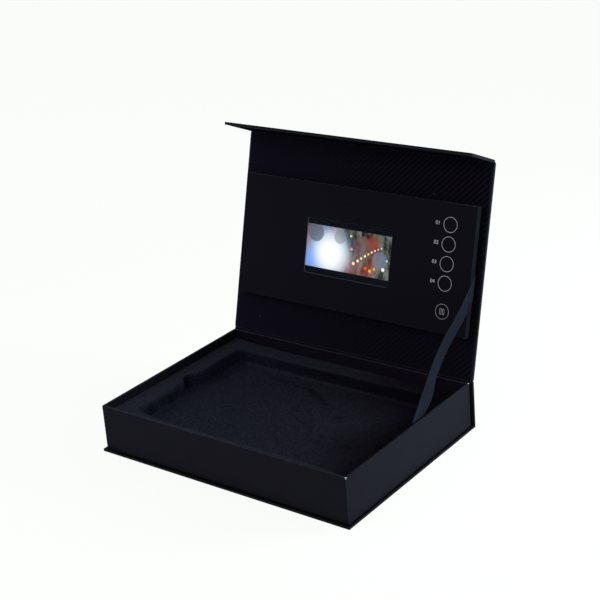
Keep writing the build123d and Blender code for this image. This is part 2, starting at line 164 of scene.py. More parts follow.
# %% Sockets that add up


class Wire:
    """An output socket that can be used in sums."""

    def __init__(self, finish, socket):
        self.finish, self.socket = finish, socket

    def sum(self, operation, *values):
        inputs = dict(enumerate(values))
        return self.finish.add("Math", {"operation": operation}, inputs)

    def __add__(self, other):
        return self.sum("ADD", self, other)

    def __sub__(self, other):
        return self.sum("SUBTRACT", self, other)

    def __rsub__(self, other):
        return self.sum("SUBTRACT", other, self)

    def __mul__(self, other):
        return self.sum("MULTIPLY", self, other)

    __radd__, __rmul__ = __add__, __mul__


class Finish:
    """One material, or the sky, written node by node."""

    def __init__(self, name, world=None):
        self.material = world or bpy.data.materials.new(name)
        self.material.use_nodes = True
        self.tree = self.material.node_tree
        self.skin = self.tree.nodes.get("Principled BSDF")

    def put(self, socket, value):
        if isinstance(value, Wire):
            self.tree.links.new(value.socket, socket)
        else:
            socket.default_value = value

    def add(self, kind, settings=None, inputs=None, output=0):
        """A node of any kind: its settings first, then its sockets."""
        node = self.tree.nodes.new("ShaderNode" + kind)
        for name, value in (settings or {}).items():
            if name == "stops":
                for stop, (position, colour) in zip(ramp_stops(node, len(value)), value):
                    stop.position, stop.color = position, colour
            else:
                setattr(node, name, value)
        for name, value in (inputs or {}).items():
            self.put(node.inputs[name], value)
        return Wire(self, node.outputs[output])

    def coat(self, **values):
        """Sets sockets of the surface shader, named with _ for a space. Gives the material."""
        for name, value in values.items():
            self.put(self.skin.inputs[name.replace("_", " ")], value)
        return self.material


def ramp_stops(node, count):
    """The stops of a colour ramp, as many as asked for."""
    stops = node.color_ramp.elements
    while len(stops) < count:
        stops.new(1)
    return stops


print("materials are written as sums from here on")

# %% [markdown]
# ## Words for grain
#
# Paper, foam and cloth all need the same few things: a place to read the pattern from, noise at
# a size given in millimetres, a mask between two levels, a colour between two colours and a
# bump of a given depth. Each is one short helper.

# %% Grain helpers


def position(finish):
    """Where a point of the piece is, in metres."""
    return finish.add("TexCoord", output="Object")


def grain(finish, place, size, detail=2.0, rough=0.5, stretch=(1, 1, 1)):
    """Soft noise with lumps of a size in metres."""
    stretched = finish.add("Mapping", None, {"Vector": place, "Scale": stretch})
    inputs = {"Vector": stretched, "Scale": 1 / size, "Detail": detail, "Roughness": rough}
    return finish.add("TexNoise", None, inputs)


def step(finish, value, low, high):
    """0 below one level, 1 above the other and smooth between."""
    settings = {"interpolation_type": "SMOOTHSTEP"}
    inputs = {"Value": value, "From Min": low, "From Max": high}
    return finish.add("MapRange", settings, inputs)


def blend(finish, share, first, second):
    """A colour part of the way from one colour to another."""
    inputs = {"Factor": share, 6: first, 7: second}
    return finish.add("Mix", {"data_type": "RGBA"}, inputs, output=2)


def bump(finish, height, depth, below=None):
    """A normal from a height of 0 to 1, as deep as given in metres."""
    inputs = {"Height": height, "Distance": depth}
    if below:
        inputs["Normal"] = below
    return finish.add("Bump", None, inputs)


def close_to(finish, place, centre, radius, softness):
    """1 round a point, falling to 0 at a radius."""
    inputs = {0: place, 1: centre}
    far = finish.add("VectorMath", {"operation": "DISTANCE"}, inputs, "Value")
    return 1 - step(finish, far, radius * (1 - softness), radius)


def part_of(finish, place, axis):
    """One coordinate of a place: 0 for X, 1 for Y and 2 for Z."""
    return finish.add("SeparateXYZ", None, {"Vector": place}, output=axis)


def shade(red, green, blue):
    """A colour from its values on a 0 to 255 screen scale, as the renderer counts light."""
    screen = [value / 255 for value in (red, green, blue)]
    linear = [v / 12.92 if v < 0.04045 else ((v + 0.055) / 1.055) ** 2.4 for v in screen]
    return (*linear, 1)


print("black paper is", [round(v, 4) for v in shade(26, 26, 34)])

# %% [markdown]
# ## Wrapping paper
#
# The case and the tray are covered with a dyed black art paper. Close up it has short fibres
# and a slightly cloudy tone, and it scuffs to grey where boards turn a corner. One recipe with
# two tones gives every paper of the box: the plain faces, the rubbed edges, also painted lighter
# as a highlight, the right rim of the tray, the inside of the tray, darker as a painted shade,
# its left inner wall, which faces the light and keeps the plain tone, the folds, and a painted
# shadow round the foot of the tray on the base. At two corners of the tray the edge and rim
# papers are rubbed down to the white of the board.

# %% Wrapping paper
scuff_grey, bare_board = shade(118, 122, 132), shade(236, 240, 246)


def wrapping(name, tone, scuff=0.0, bare_corners=()):
    finish = Finish(name)
    place = position(finish)
    cloud = grain(finish, place, 45 * mm, 3)
    fibre = grain(finish, place, 0.9 * mm, 3, 0.6, (1, 1, 2.2))
    tint = blend(finish, cloud * 0.55 + fibre * 0.45, shade(*tone[0]), shade(*tone[1]))
    worn = step(finish, grain(finish, place, 5 * mm, 4, 0.7), 0.52, 0.66) * scuff
    tint = blend(finish, worn, tint, scuff_grey)
    for corner, radius in bare_corners:
        bare = close_to(finish, place, Vector(corner) * mm, radius * mm, 0.5)
        tint = blend(finish, bare, tint, bare_board)
    return finish.coat(
        Base_Color=tint,
        Roughness=0.52 + fibre * 0.16 - cloud * 0.06,
        Specular_IOR_Level=0.03,
        Normal=bump(finish, fibre, 0.05 * mm),
    )


corner_spots = [((155, -112, 52.5), 1.9), ((155, 112, 52.5), 2.1)]
wrap_paper = wrapping("wrap paper", ((24, 25, 33), (31, 32, 41)))
# Lighter than the plain paper: rubbed edges with a painted highlight.
edge_wear_highlight_paper = wrapping("edge wear highlight paper", ((37, 40, 50), (52, 57, 69)), 0.12, corner_spots)
rim_paper = wrapping("rim paper", ((26, 29, 37), (34, 37, 47)), 0.0, corner_spots)
# Darker: a painted shade on the tray's inner walls. The left wall, which faces the light, keeps the plain tone.
shaded_inner_paper = wrapping("shaded inner paper", ((21, 19, 28), (28, 24, 36)))
side_paper = wrapping("side paper", ((24, 25, 34), (31, 32, 42)))
fold_paper = wrapping("fold paper", ((24, 26, 34), (33, 35, 44)))
# Near black: a painted shadow on the base round the foot of the tray.
ledge_shadow_paper = wrapping("ledge shadow paper", ((8, 7, 12), (12, 10, 16)))
print("wrapping papers from", wrap_paper.name, "to", ledge_shadow_paper.name)

# %% [markdown]
# ## Lining paper
#
# The insides of the lid and flap are lined with a darker sheet that is embossed with a fine
# diagonal rib. The rib has to lie in the sheet, whatever way the board leans, so it reads the
# sheet's own UV map, which holds distances across and along the board in metres. The rib's
# colour shows strongest at the top right, and the sheet is painted paler at the left as painted
# light. Two crumbs of foam dust cling to it.

# %% Lining paper


def sheet_map(finish):
    """The piece's own UV map, in metres, as separate distances across and along it."""
    place = finish.add("UVMap", {"uv_map": "flat"})
    parts = {"Vector": place}
    across = finish.add("SeparateXYZ", None, parts, output=0)
    along = finish.add("SeparateXYZ", None, parts, output=1)
    return place, across, along


def ribs(finish, distance, pitch):
    """Even rounded ribs: a sine of a distance, brought to between 0 and 1."""
    wave = finish.add("Math", {"operation": "SINE"}, {0: distance * (2 * math.pi / pitch)})
    return wave * 0.5 + 0.5


rib_pitch, thread_pitch = 4.7 * mm, 0.7 * mm
lining_crumbs = [(90.6, 186.8, 0.8), (-122, 18.7, 0.7)]


def lining():
    finish = Finish("lining paper")
    place, across, along = sheet_map(finish)
    slant = (across - along) * math.sqrt(0.5)
    wander = grain(finish, place, 60 * mm, 2) * (1.2 * mm)
    rib = ribs(finish, slant + wander, rib_pitch)
    # The rib's colour shows strongest towards the top right.
    rib_contrast = step(finish, along, 60 * mm, 190 * mm) * 0.6 + 0.25
    rib_contrast = step(finish, across, -90 * mm, 130 * mm) * rib_contrast + 0.15
    thread = ribs(finish, (across + along) * math.sqrt(0.5), thread_pitch)
    cloud = grain(finish, place, 80 * mm, 3)
    fibre = grain(finish, place, 0.8 * mm, 3, 0.6)
    share = (rib - 0.5) * rib_contrast + 0.5
    tint = blend(finish, share * 0.85 + fibre * 0.15, shade(13, 9, 17), shade(33, 31, 43))
    tint = blend(finish, cloud * 0.3, tint, shade(18, 16, 25))
    # Painted light: the sheet is paler towards its left.
    painted_light_left = 1 - step(finish, across, -130 * mm, 70 * mm)
    tint = blend(finish, painted_light_left * 0.38, tint, shade(32, 33, 46))
    for x, y, radius in lining_crumbs:
        crumb = close_to(finish, place, (x * mm, y * mm, 0), radius * mm, 0.5)
        tint = blend(finish, crumb, tint, shade(96, 104, 118))
    relief = rib * 0.8 + thread * 0.12 + fibre * 0.12
    return finish.coat(
        Base_Color=tint,
        Roughness=0.56 + fibre * 0.12,
        Specular_IOR_Level=0.0,
        Normal=bump(finish, relief, 0.10 * mm),
    )


lining_paper = lining()
print("lining rib", rib_pitch / mm, "mm")

# %% [markdown]
# ## The card of the module
#
# The module is faced with a laminated black card: smoother than the wrap, with a very fine
# orange-peel bump and faint handling marks that show in its gloss more than in its colour. The
# card is painted lighter towards its left, as painted light. The cut edges of the button holes
# are a little lighter than its face, and those of the window are the lightest: lighter cut card
# with a painted highlight. The right side of the module is a darker copy of the card, a painted
# shade, with a paler line along its fold, a painted highlight.

# %% Module card


def card(name, dark, light, gloss):
    finish = Finish(name)
    place = position(finish)
    cloud = grain(finish, place, 70 * mm, 3)
    peel = grain(finish, place, 0.7 * mm, 2)
    rubbed = step(finish, grain(finish, place, 26 * mm, 5, 0.62), 0.5, 0.75)
    # Painted light: the card is lighter towards its left.
    card_left_light = 1 - step(finish, part_of(finish, place, 0), -150 * mm, 40 * mm)
    share = cloud * 0.6 + peel * 0.4 + card_left_light * 0.5
    tint = blend(finish, share, shade(*dark), shade(*light))
    return finish.coat(
        Base_Color=tint,
        Roughness=gloss + peel * 0.10 - rubbed * 0.07,
        Specular_IOR_Level=0.02,
        Normal=bump(finish, peel, 0.02 * mm),
    )


face_card = card("face card", (18, 17, 25), (24, 23, 32), 0.44)
card_edge = card("card edge", (47, 60, 70), (60, 77, 90), 0.40)
# A painted highlight along the module's right fold.
fold_highlight_card = card("fold highlight card", (28, 36, 43), (35, 45, 53), 0.40)
# A darker copy of the card for the module's right side: a painted shade.
side_shade_card = card("side shade card", (15, 18, 24), (21, 24, 31), 0.40)
# The window's cut edge: lighter cut card with a painted highlight.
window_highlight_card = card("window highlight card", (112, 124, 142), (140, 152, 168), 0.40)
spacer_card = card("spacer card", (15, 15, 20), (22, 22, 28), 0.6)
print("cards", face_card.name, card_edge.name, window_highlight_card.name, fold_highlight_card.name, side_shade_card.name)

# %% [markdown]
# ## Foam
#
# The insert is open-cell polyether foam. Its surface is a mass of half-millimetre cells: dark
# pits between thin lighter walls. A Voronoi pattern gives the cells and a second one some larger
# torn ones. Painted light makes the block lighter and bluer at its left, and a painted shadow of
# the tray's right wall darkens its right, with a broad cloud to loosen the border. Its top is
# painted lighter where that shadow is not, and darker in a strip along the right wall. Two tables
# list the rubbed marks on the recess's floor and the dark marks on its left wall, as a place, a
# radius and a share of the dark; the first two on the wall are painted shade inside the left
# finger notch. The marks' outlines wander, because their place is bent by noise first. The walls
# that the hot wire cut get a darker copy of the foam, a painted shade, apart from the left one,
# which faces the light.

# %% Foam


def cells(finish, place, size):
    """Distance to the nearest cell centre, for cells of a size in metres."""
    return finish.add("TexVoronoi", None, {"Vector": place, "Scale": 1 / size})


def bend(finish, place, reach):
    """A place that wanders sideways by up to a reach, so that round marks get loose outlines."""
    wander = finish.add("TexNoise", None, {"Vector": place, "Scale": 90.0}, output=1)
    for operation, value in (("SUBTRACT", (0.5, 0.5, 0.5)), ("MULTIPLY", (reach, reach, 0))):
        wander = finish.add("VectorMath", {"operation": operation}, {0: wander, 1: value})
    return finish.add("VectorMath", {"operation": "ADD"}, {0: place, 1: wander})


cell_size, torn_size = 1.0 * mm, 4.5 * mm
on_floor = 23.6
floor_marks = [
    (-71, 73, 6, 0.4), (-63, 73, 7, 0.5), (-54, 73, 7, 0.5), (-44, 72, 6, 0.4),
    (-35, 70, 6, 0.4), (-26, 68, 6, 0.45), (-18, 66, 7, 0.5), (-9, 63, 7, 0.5),
    (0, 59, 8, 0.5), (8, 54, 8, 0.55), (16, 48, 7, 0.5), (46, 29, 8, 0.45),
    (51, 21, 6, 0.4), (87, -20, 7, 0.45), (94, -23, 5, 0.4), (56, -57, 6, 0.35),
]
floor_marks = [(x, y, on_floor, radius, share) for x, y, radius, share in floor_marks]
# The first two are painted shade inside the left finger notch; the rest are dark patches on the recess's left
# wall.
wall_marks_and_notch_shade = [
    (-137, 1, 32, 14, 0.9), (-133, 4, 24, 9, 0.8), (-131.5, -11, 28, 9, 0.4),
    (-131.5, -22, 33, 8, 0.45), (-131.5, -33, 30, 11, 0.6), (-131.5, -47, 34, 9, 0.45),
    (-131.5, -64, 31, 13, 0.65), (-131.5, -78, 28, 9, 0.5), (-131.5, 24, 25, 5, 0.4),
    (-131.5, 35, 25, 5, 0.5), (-131.5, 46, 25, 5, 0.5), (-131.5, 57, 24, 5, 0.35),
]


left_light_blue, deep_shade, top_light_grey = shade(47, 56, 70), shade(18, 13, 19), shade(60, 62, 74)
# Dark for the marks and for the painted shade in the notch.
torn_dark, mark_and_shade_dark = shade(18, 16, 24), shade(19, 16, 24)


def foam(name, dark, light, marks=()):
    """Open-cell foam in two tones, with painted light and shade and a table of dark marks."""
    finish = Finish(name)
    place = position(finish)
    pores = step(finish, cells(finish, place, cell_size), 0.15, 0.6)
    torn = 1 - step(finish, cells(finish, place, torn_size), 0.10, 0.34)
    mottle = step(finish, grain(finish, place, 2.8 * mm, 4, 0.7), 0.34, 0.66)
    tint = blend(finish, pores * 0.45 + mottle * 0.55, shade(*dark), shade(*light))
    cloud = grain(finish, place, 60 * mm, 4, 0.6) * (70 * mm)
    side = part_of(finish, place, 0) + part_of(finish, place, 1) * 0.35 + cloud
    # Painted light at the left, and the painted shadow of the tray's right wall at the right.
    foam_left_light = 1 - step(finish, side, -50 * mm, 90 * mm)
    shaded = step(finish, side, 60 * mm, 190 * mm)
    tint = blend(finish, foam_left_light * (0.15 + mottle * 0.3), tint, left_light_blue)
    tint = blend(finish, shaded * 0.75, tint, deep_shade)
    # Painted light on the top surface where the wall's shadow is not, and a painted shadow in a strip along the
    # right wall.
    raised = step(finish, part_of(finish, place, 2), 36 * mm, 39 * mm)
    tint = blend(finish, raised * (1 - shaded) * 0.3, tint, top_light_grey)
    right_wall_shadow = step(finish, part_of(finish, place, 0), 112 * mm, 134 * mm)
    tint = blend(finish, right_wall_shadow * raised * 0.5, tint, deep_shade)
    tint = blend(finish, torn * 0.4, tint, torn_dark)
    bent = bend(finish, place, 12 * mm)
    for x, y, height, radius, share in marks:
        centre = (x * mm, y * mm, height * mm)
        spot = close_to(finish, bent, centre, radius * mm, 0.8) * share
        tint = blend(finish, spot, tint, mark_and_shade_dark)
    relief = pores * 0.7 + mottle * 0.5 - torn * 0.5
    return finish.coat(
        Base_Color=tint,
        Roughness=0.93,
        Specular_IOR_Level=0.0,
        Normal=bump(finish, relief, 0.35 * mm),
    )


foam_black = foam("foam", (28, 27, 36), (47, 48, 60), floor_marks)
# A darker copy for the cut walls: a painted shade.
shaded_wall_foam = foam("shaded wall foam", (16, 14, 22), (32, 31, 42))
foam_side = foam("side foam", (27, 27, 37), (45, 46, 59), wall_marks_and_notch_shade)
print("foam cells", cell_size / mm, "mm, marks", len(floor_marks) + len(wall_marks_and_notch_shade))

# %% [markdown]
# ## Ribbon
#
# The lid hangs on a woven satin ribbon. Its weave is a row of fine ribs across its width and a
# firmer, glossier edge on each side, and both follow the ribbon's own UV map round its bends.

# %% Ribbon
ribbon_width = 16.0 * mm


def ribbon_weave(width):
    finish = Finish("ribbon")
    place, across, along = sheet_map(finish)
    rib = ribs(finish, along, 0.8 * mm)
    warp = ribs(finish, across, 0.5 * mm)
    off_middle = across.sum("ABSOLUTE", across)
    selvedge = step(finish, off_middle, width / 2 - 1.1 * mm, width / 2 - 0.7 * mm)
    fibre = grain(finish, place, 1.5 * mm, 3, 0.6)
    tint = blend(finish, rib * 0.5 + fibre * 0.5, shade(21, 25, 35), shade(31, 36, 49))
    # Painted light: the low end, which the lamp reaches, is lighter.
    lit_low_end = 1 - step(finish, along, 22 * mm, 62 * mm)
    tint = blend(finish, lit_low_end * 0.6, tint, shade(40, 48, 65))
    tint = blend(finish, selvedge * 0.3, tint, shade(34, 40, 52))
    relief = rib * (1 - selvedge) * 0.8 + warp * 0.2 + selvedge * 0.6
    return finish.coat(
        Base_Color=tint,
        Roughness=0.55 + fibre * 0.1,
        Specular_IOR_Level=0.02,
        Normal=bump(finish, relief, 0.08 * mm),
    )


print("ribbon weave is ready")

# %% [markdown]
# ## The rest of the finishes
#
# Ink, clear film and the plain materials of the parts inside share one recipe: two tones of a
# colour with a grain of a given size. Metals use the same recipe with their metallic socket up.

# %% Plain finishes


def plain(name, dark, light, size, rough, metal=0.0, specular=0.3, depth=0.03):
    finish = Finish(name)
    place = position(finish)
    mottle = grain(finish, place, size, 3, 0.6)
    return finish.coat(
        Base_Color=blend(finish, mottle, shade(*dark), shade(*light)),
        Roughness=rough + mottle * 0.12,
        Metallic=metal,
        Specular_IOR_Level=specular,
        Normal=bump(finish, mottle, depth * mm),
    )


def film():
    finish = Finish("clear film")
    smear = grain(finish, position(finish), 18 * mm, 4, 0.6)
    return finish.coat(
        Base_Color=blend(finish, smear, shade(236, 240, 244), shade(250, 252, 255)),
        Roughness=0.0,
        Transmission_Weight=1.0,
        IOR=1.04,
    )


finishes = {
    "wrap_paper": wrap_paper,
    "lining_paper": wrap_paper,
    "grey_board": plain("grey board", (92, 90, 86), (128, 125, 118), 2.5 * mm, 0.85),
    "foam": foam_black,
    "ribbon": ribbon_weave(ribbon_width),
    "module_face": face_card,
    "spacer_board": spacer_card,
    "clear_film": film(),
    "backlight": plain("backlight", (205, 210, 214), (228, 232, 236), 8 * mm, 0.5),
    "frame_steel": plain("frame steel", (120, 124, 128), (160, 164, 168), 3 * mm, 0.35, 1.0),
    "board_green": plain("circuit board", (14, 52, 34), (26, 78, 52), 2 * mm, 0.4),
    "chip_black": plain("chip black", (18, 18, 20), (34, 34, 37), 0.8 * mm, 0.5),
    "flex_amber": plain("flex amber", (128, 72, 18), (166, 98, 30), 4 * mm, 0.35),
    "socket_steel": plain("socket steel", (150, 152, 156), (188, 190, 194), 2 * mm, 0.25, 1.0),
    "switch_metal": plain("switch metal", (140, 142, 146), (182, 184, 188), 2 * mm, 0.3, 1.0),
    "cell_foil": plain("cell foil", (150, 154, 160), (192, 196, 202), 6 * mm, 0.35, 1.0),
    "lead_red": plain("lead red", (120, 14, 14), (156, 28, 24), 3 * mm, 0.45),
    "speaker_black": plain("speaker black", (20, 20, 22), (38, 38, 42), 1.5 * mm, 0.6),
    "magnet_nickel": plain("magnet nickel", (160, 158, 152), (196, 194, 188), 4 * mm, 0.2, 1.0),
    "glass_tube": plain("glass tube", (150, 168, 160), (186, 202, 194), 3 * mm, 0.15),
    "cable_white": plain("cable white", (196, 196, 190), (222, 222, 216), 3 * mm, 0.5),
    "button_cap": face_card,
    "screen": spacer_card,
}
ink_white = plain("white ink", (216, 220, 224), (240, 243, 246), 0.8 * mm, 0.5, depth=0.01)
for row in frame["record"]["subparts"]:
    skin = frame["nodes"][row["node"]].data.materials
    skin.clear()
    skin.append(finishes[row["material_slot"]])

# %% [markdown]
# ## From a mesh to a finished piece
#
# Every piece ends the same way. Its mesh is carried to its place, given its materials and smooth
# shading with sharp corners kept, and tied to the body it moves with. The frame nodes that it
# stands for are hidden.

# %% Finish a piece
in_place = Matrix.Identity(4)


def loose_object(name, mesh):
    """A bmesh as an object that is not finished, such as a helper."""
    data = bpy.data.meshes.new(name)
    mesh.to_mesh(data)
    mesh.free()
    return in_scene(name, data)


def piece(name, mesh, skins, body=None, stands_for=(), place=in_place, corner=40, even=True):
    """A bmesh as a finished object that rides on a body."""
    bmesh.ops.transform(mesh, matrix=place, verts=mesh.verts)
    made = loose_object(name, mesh)
    data = made.data
    for skin in skins:
        data.materials.append(skin)
    data.polygons.foreach_set("use_smooth", [True] * len(data.polygons))
    data.set_sharp_from_angle(angle=math.radians(corner))
    if body:
        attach(made, body)
    if even:
        flat = made.modifiers.new("even shading", "WEIGHTED_NORMAL")
        flat.mode, flat.weight, flat.keep_sharp = "FACE_AREA", 100, True
    if stands_for:
        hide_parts(*stands_for)
    print(name, "with", len(data.polygons), "faces")
    return made


# %% [markdown]
# ## Boxes with soft edges
#
# A board wrapped in paper has an edge radius of about half a millimetre, which catches a thin
# line of light. A cube stretched between two corners gives the board, a bevel rounds it, and the
# bevel's faces get their own material, so that the edges can look rubbed and carry a painted
# highlight.

# %% Slab and soft edges


def shift(mesh, by, verts=None):
    """Moves some or all of a mesh."""
    bmesh.ops.translate(mesh, vec=by, verts=verts or mesh.verts)


def slab(low, high):
    """A closed box between two corners."""
    mesh = bmesh.new()
    bmesh.ops.create_cube(mesh, size=1)
    bmesh.ops.scale(mesh, vec=high - low, verts=mesh.verts)
    shift(mesh, (low + high) / 2)
    return mesh


def soften(mesh, radius, parts=None, rings=3, skin=None, affect="EDGES"):
    """Rounds edges or corners, and gives the rounded faces a material of their own."""
    made = bmesh.ops.bevel(
        mesh,
        geom=list(parts or mesh.edges),
        offset=radius,
        offset_type="OFFSET",
        segments=rings,
        profile=0.5,
        affect=affect,
        material=-1,
    )
    if skin is not None:
        for face in made["faces"]:
            face.material_index = skin
    return mesh


def flat_map(mesh, start=Vector()):
    """A UV map of a flat mesh: distances across and along it from a start, in metres."""
    layer = mesh.loops.layers.uv.new("flat")
    for face in mesh.faces:
        for corner in face.loops:
            corner[layer].uv = (corner.vert.co - start).xy
    return mesh


board_edge = 0.5 * mm
print("board edges are rounded by", board_edge / mm, "mm")

# %% [markdown]
# ## The case
#
# The case is four grey boards under one sheet of paper: base, spine, lid and flap. Each board
# and its wrap become one rounded slab, with another paper on its rounded edges, rubbed and
# painted lighter as a highlight on the lid and flap. On the base that paper is on its upper
# face instead, a near-black painted shadow round the foot of the tray. The lining is a separate
# sheet, let in a little short of the edges, and stands a hair proud so that its border shows.

# %% Case boards and linings
boards = {
    "base": (upright, "tray", ledge_shadow_paper),
    "spine": (spine_place, "tray", fold_paper),
    "lid": (lid_place, "lid", edge_wear_highlight_paper),
    "flap": (flap_place, "flap", edge_wear_highlight_paper),
}
lining_proud, lining_edge = Vector((0, 0, 0.12 * mm)), 0.1 * mm
# On the base the second paper is the painted shadow, put on its upper face.
for name, (place, body, rubbed) in boards.items():
    board = soften(slab(*span(f"{name}_wrap", place)), board_edge, skin=1)
    if name == "base":
        board.normal_update()
        for face in board.faces:
            face.material_index = 1 if face.normal.z > 0.7 else 0
    hidden = (f"{name}_wrap", f"{name}_board")
    piece(f"{name}_cover", board, (wrap_paper, rubbed), body, hidden, place)
    if name != "base":
        low, high = span(f"{name}_lining", place)
        sheet = flat_map(soften(slab(low, high + lining_proud), lining_edge, rings=1))
        hidden = (f"{name}_lining",)
        piece(f"{name}_inside", sheet, (lining_paper,), body, hidden, place)

# %% [markdown]
# ## The folds of the case
#
# Between two boards only paper is left, pressed into a groove. The real paper bends when the lid
# or the flap moves; here each fold is a fixed strip of several rows from the end of one board to
# the end of the other. Both the outer and the inner strip start as one flat sheet from board to
# board, dip into the gap and get the paper's thickness.

# %% Fold strips
paper = 0.3 * mm
groove, fold_inset = 0.1 * mm, 1.2 * mm


def thicken(mesh, thickness):
    """Gives a sheet its thickness, with its faces turned alike before and after."""
    bmesh.ops.recalc_face_normals(mesh, faces=mesh.faces)
    bmesh.ops.solidify(mesh, geom=mesh.faces, thickness=thickness)
    bmesh.ops.recalc_face_normals(mesh, faces=mesh.faces)


def fold_strip(name, first, second, width, dip, node):
    """Paper from one board's end to another's, over the gap between them."""
    mesh = bmesh.new()
    side = Vector((width / 2, 0, 0))
    ends = [mesh.verts.new(first - side), mesh.verts.new(first + side)]
    far = [mesh.verts.new(second + side), mesh.verts.new(second - side)]
    mesh.faces.new(ends + far)
    run = second - first
    rungs = [e for e in mesh.edges if abs((e.verts[0].co - e.verts[1].co).dot(run)) > 0]
    bmesh.ops.subdivide_edges(mesh, edges=rungs, cuts=9, use_grid_fill=True)
    for vertex in mesh.verts:
        share = (vertex.co - first).dot(run) / run.length_squared
        vertex.co += dip * math.sin(math.pi * share)
    thicken(mesh, paper)
    made = piece(name, mesh, (fold_paper,), None, (node,), even=False)
    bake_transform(made)


lid_low, lid_high = span("lid_wrap", lid_place)
spine_high = span("spine_wrap", spine_place)[1]
flap_low = span("flap_wrap", flap_place)[0]
folds = {
    "lid_fold": (spine_place, spine_high.y, lid_place, lid_low.y, ("tray", "lid")),
    "flap_fold": (lid_place, lid_high.y, flap_place, flap_low.y, ("lid", "flap")),
}
for name, (near, near_end, far, far_end, bodies) in folds.items():
    node = name.replace("_fold", "_hinge_paper")
    for layer, level, inward in (("outer", lid_low.z, 1), ("inner", lid_high.z, -1)):
        first = near @ Vector((0, near_end, level + inward * paper / 2))
        second = far @ Vector((0, far_end, level + inward * paper / 2))
        dip = (near.col[2].xyz + far.col[2].xyz) * inward * groove
        width = 2 * lid_high.x - fold_inset
        fold_strip(f"{name}_{layer}", first, second, width, dip, node)

# %% [markdown]
# ## The tray
#
# The tray is a wrapped board box with a rim. One cube is enough: its top face is inset by the
# thickness of a wall, and the inner face is pushed down to the floor. Bevels then round the
# upright corners and the rim, where the paper is rubbed and painted lighter as a highlight. The
# inner walls get a darker paper, a painted shade, apart from the left one, which faces the light.

# %% Tray shell
tray_skins = (wrap_paper, edge_wear_highlight_paper, shaded_inner_paper, side_paper, rim_paper)
EDGE_WEAR_HIGHLIGHT, SHADED_INNER, LEFT_INNER, RIGHT_RIM = range(1, len(tray_skins))
turned_in_paper, tray_edge = 0.25 * mm, 0.55 * mm
wall = span("tray_left_wall")[1].x - tray_low.x + turned_in_paper
floor_top = span("tray_floor")[1].z
mesh = slab(tray_low, tray_high)
top = max(mesh.faces, key=lambda face: face.calc_center_median().z)
bmesh.ops.inset_region(mesh, faces=[top], thickness=wall, use_even_offset=True)
well = bmesh.ops.extrude_discrete_faces(mesh, faces=[top])["faces"]
shift(mesh, (0, 0, floor_top - tray_high.z), list(well[0].verts))
outside = [
    edge
    for edge in mesh.edges
    if all(abs(v.co.x) > tray_high.x - mm / 2 for v in edge.verts)
    or all(abs(v.co.y) > tray_high.y - mm / 2 for v in edge.verts)
    or all(v.co.z > tray_high.z - mm / 2 for v in edge.verts)
]
soften(mesh, tray_edge, outside, skin=EDGE_WEAR_HIGHLIGHT)
# The inner walls get the painted shade paper, apart from the left one, which faces the light.
for face in mesh.faces:
    middle = face.calc_center_median()
    inner = abs(middle.x) < tray_high.x - wall + 0.1 * mm
    inner = inner and abs(middle.y) < tray_high.y - wall + 0.1 * mm
    if inner and floor_top - 0.1 * mm < middle.z < tray_high.z - 0.6 * mm:
        face.material_index = LEFT_INNER if face.normal.x > 0.9 else SHADED_INNER
    if face.material_index == EDGE_WEAR_HIGHLIGHT and middle.x > tray_high.x - wall and face.normal.z > 0.1:
        face.material_index = RIGHT_RIM
walls = ("tray_wrap", "tray_front_wall", "tray_rear_wall", "tray_left_wall")
walls += ("tray_right_wall", "tray_floor")
piece("tray_shell", mesh, tray_skins, "tray", walls)
print("wall", round(wall / mm, 2), "mm")

# %% [markdown]
# ## The foam insert
#
# A block of foam fills the tray, with a recess for the gift and a finger notch at each side. A
# block and two cutters give its outline, and the cutters are subtracted with Boolean modifiers.
# A voxel remesh then turns it into an even skin of small faces, which can be moved like foam:
# cut faces wander a little, corners are soft and the block sits up towards the front left.

# %% Foam block and its cutters
foam_low = span("foam_base")[0]
foam_frame_low, foam_high = span("foam_frame")
recess_floor = foam_frame_low.z
recess_middle = Vector((0.5, 1.0, 0)) * mm
recess_half = Vector((131.5, 88.5, 0)) * mm
notch_middle = Vector((0.5, 3.0, 0)) * mm
notch_half = Vector((139.5, 13.0, 0)) * mm


def cutter(name, middle, half, low, high, round_by, rings):
    """A block between two heights, with its upright edges rounded, to cut with."""
    foot, head = Vector((middle.x, middle.y, low)), Vector((middle.x, middle.y, high))
    mesh = slab(foot - half, head + half)
    corners = [e for e in mesh.edges if abs(e.verts[0].co.z - e.verts[1].co.z) > mm]
    return loose_object(name, soften(mesh, round_by, corners, rings))


def carve(block, tools):
    """Takes every tool out of a block, with a Boolean modifier each."""
    for tool in tools:
        cut = block.modifiers.new("cut", "BOOLEAN")
        cut.operation, cut.solver, cut.object = "DIFFERENCE", "EXACT", tool


def settled(made, tools=()):
    """A bmesh of an object with its modifiers worked in. It and its tools are removed."""
    graph = bpy.context.evaluated_depsgraph_get()
    mesh = bmesh.new()
    source = made.evaluated_get(graph)
    mesh.from_mesh(bpy.data.meshes.new_from_object(source, depsgraph=graph))
    for used in (made, *tools):
        bpy.data.objects.remove(used)
    return mesh


foam_block = loose_object("foam block", slab(foam_low, foam_high))
notch_round = notch_half.y - 0.01 * mm
heights = (recess_floor, foam_high.z + 20 * mm)
tools = [
    cutter("recess cutter", recess_middle, recess_half, *heights, 1.5 * mm, 3),
    cutter("notch cutter", notch_middle, notch_half, *heights, notch_round, 10),
]
carve(foam_block, tools)
remesh = foam_block.modifiers.new("even skin", "REMESH")
remesh.mode, remesh.voxel_size = "VOXEL", 1.45 * mm
relax = foam_block.modifiers.new("soft corners", "SMOOTH")
relax.factor, relax.iterations = 0.5, 1
mesh = settled(foam_block, tools)
print("foam skin has", len(mesh.faces), "faces")

